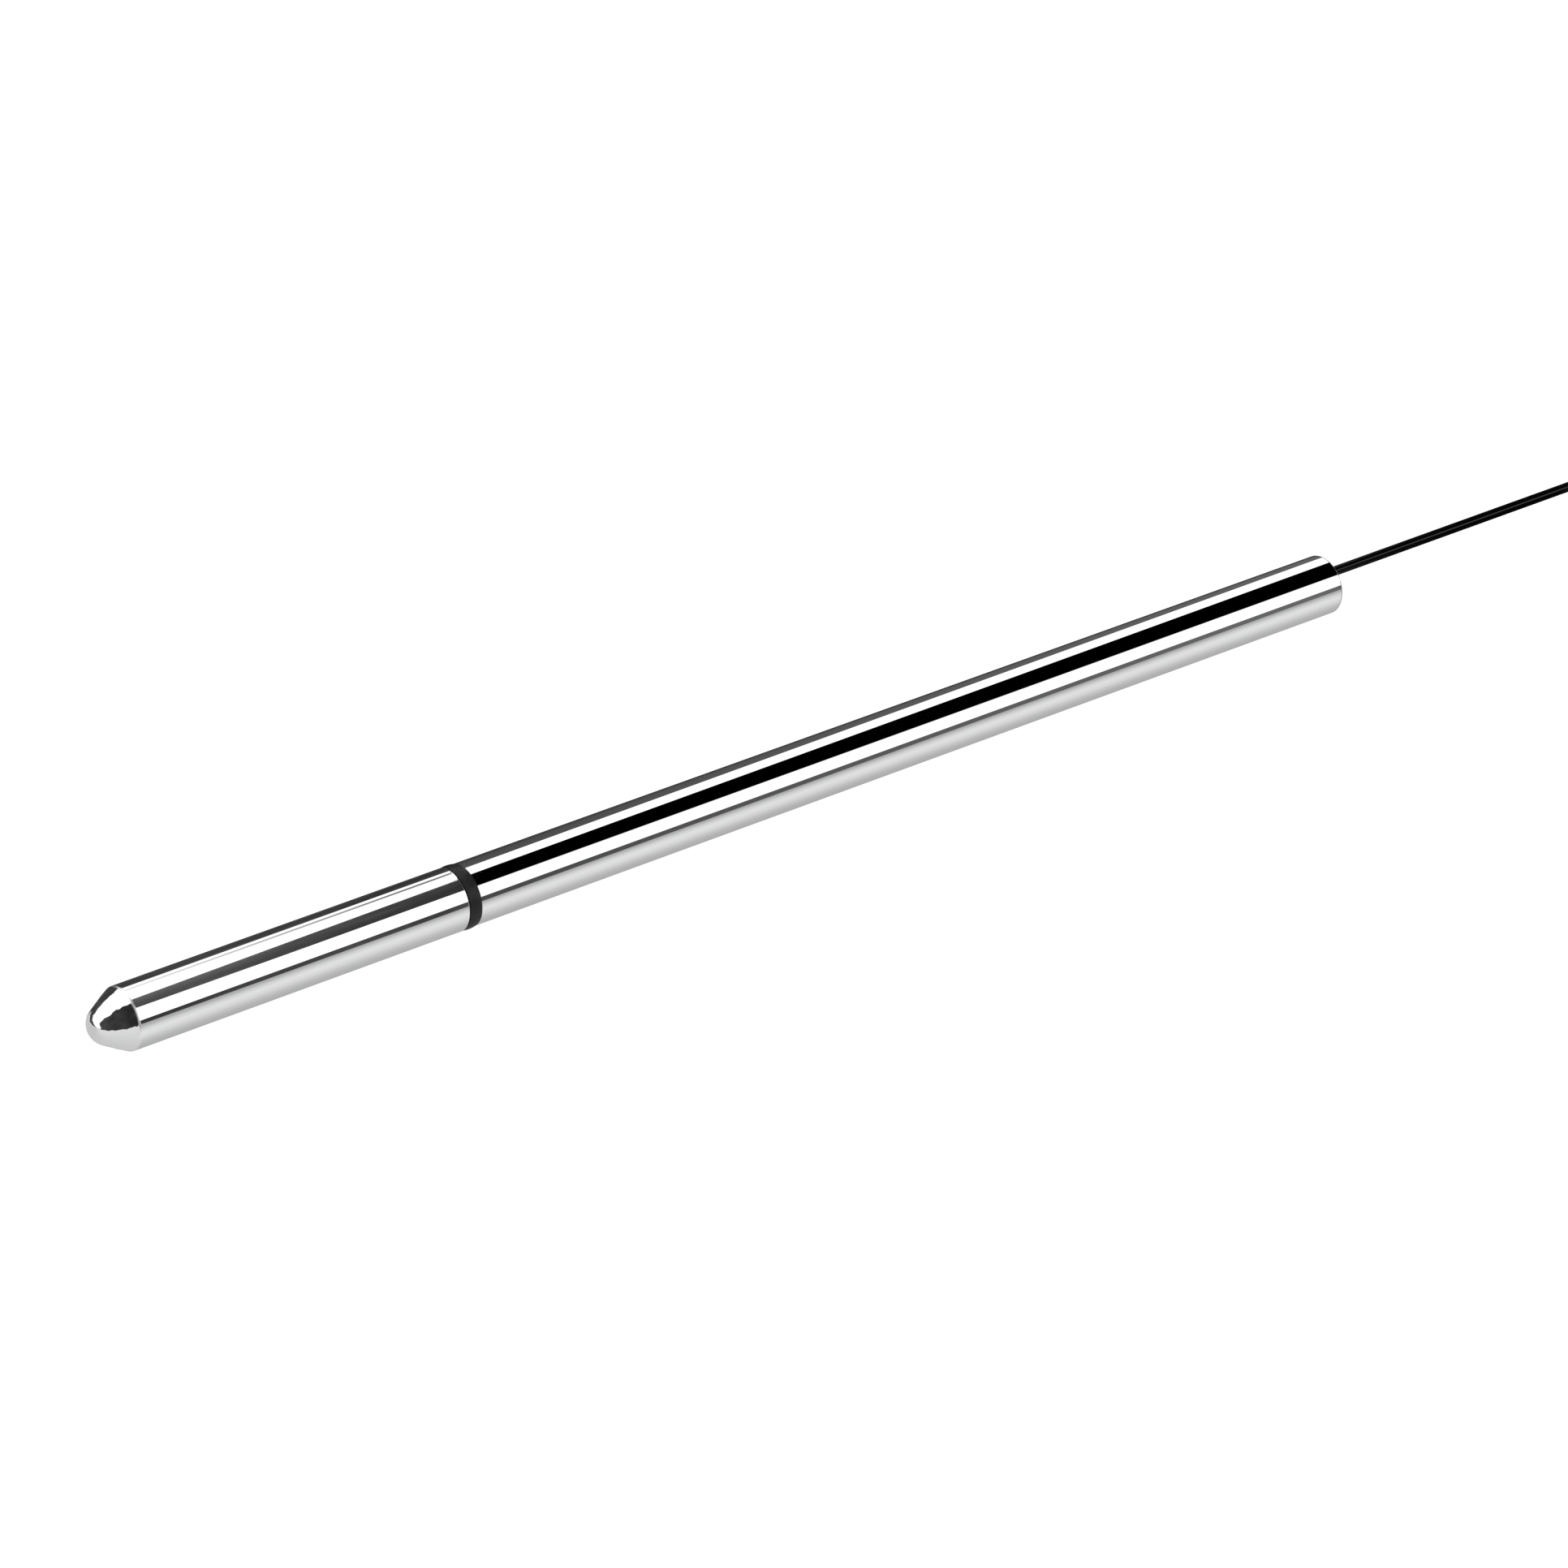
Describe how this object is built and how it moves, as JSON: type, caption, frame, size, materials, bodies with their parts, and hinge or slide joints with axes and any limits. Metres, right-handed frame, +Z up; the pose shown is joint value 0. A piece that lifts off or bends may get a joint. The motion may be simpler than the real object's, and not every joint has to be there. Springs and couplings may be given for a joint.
{
  "type": "thermocouple",
  "caption": "Slim polished steel thermocouple probe with a conical tip, a black insulating collar near the tip and a thin black lead to a miniature flat-pin plug.",
  "frame": {"origin": "on the surface the probe lies on, under the middle of the probe's length and width (lead and plug left out)", "axes": "+X along the probe from its tip towards the lead, +Z up from the surface"},
  "size_m": [0.3512, 0.0163, 0.0082],
  "materials": {
    "mirror_steel": "mirror-polished stainless steel",
    "black_collar": "turned, satin black high-temperature plastic",
    "seal_rubber": "moulded nitrile",
    "ceramic_cement": "cast, matte",
    "junction_weld": "welded bead, slightly oxidised",
    "iron_wire": "drawn iron wire",
    "constantan_wire": "drawn copper-nickel wire",
    "alumina": "fired, unglazed",
    "magnesia": "compacted powder",
    "white_ptfe": "machined",
    "amber_film": "wound polyimide film",
    "tinned_ferrule": "tin plated, crimped",
    "clear_sleeve": "shrunk tubing",
    "black_core": "extruded",
    "white_core": "extruded",
    "black_jacket": "extruded, semi-gloss black",
    "clamp_metal": "crimped",
    "potting_resin": "cast epoxy",
    "black_bush": "moulded",
    "tie_strip": "flat strip, dull",
    "boot_rubber": "moulded",
    "plug_body": "moulded, finely grained",
    "iron_blade": "stamped, brushed",
    "constantan_blade": "stamped, brushed",
    "terminal_brass": "turned",
    "screw_steel": "zinc plated"
  },
  "bodies": {
    "root": {"nose_shell": "mirror_steel", "barrel_tube": "mirror_steel", "thermal_break_collar": "black_collar", "front_o_ring": "seal_rubber", "rear_o_ring": "seal_rubber", "tip_cement": "ceramic_cement", "measuring_junction": "junction_weld", "positive_thermoelement": "iron_wire", "negative_thermoelement": "constantan_wire", "front_insulator": "alumina", "middle_insulator": "alumina", "rear_insulator": "alumina", "magnesia_fill": "magnesia", "centring_washer": "white_ptfe", "insulating_liner": "amber_film", "positive_splice": "tinned_ferrule", "negative_splice": "tinned_ferrule", "positive_splice_sleeve": "clear_sleeve", "negative_splice_sleeve": "clear_sleeve", "positive_conductor": "iron_wire", "negative_conductor": "constantan_wire", "positive_core_insulation": "black_core", "negative_core_insulation": "white_core", "lead_jacket_in_barrel": "black_jacket", "cable_clamp": "clamp_metal", "rear_potting": "potting_resin", "rear_bush": "black_bush", "lead_cable_run": "black_jacket", "lead_cable_hank": "black_jacket", "hank_tie": "tie_strip", "lead_cable_tail": "black_jacket", "cable_boot": "boot_rubber", "plug_base": "plug_body", "plug_cap": "plug_body", "positive_blade": "iron_blade", "negative_blade": "constantan_blade", "plug_positive_core": "black_core", "plug_negative_core": "white_core", "terminal_screws": "terminal_brass", "cover_screw": "screw_steel"}
  },
  "joints": []
}
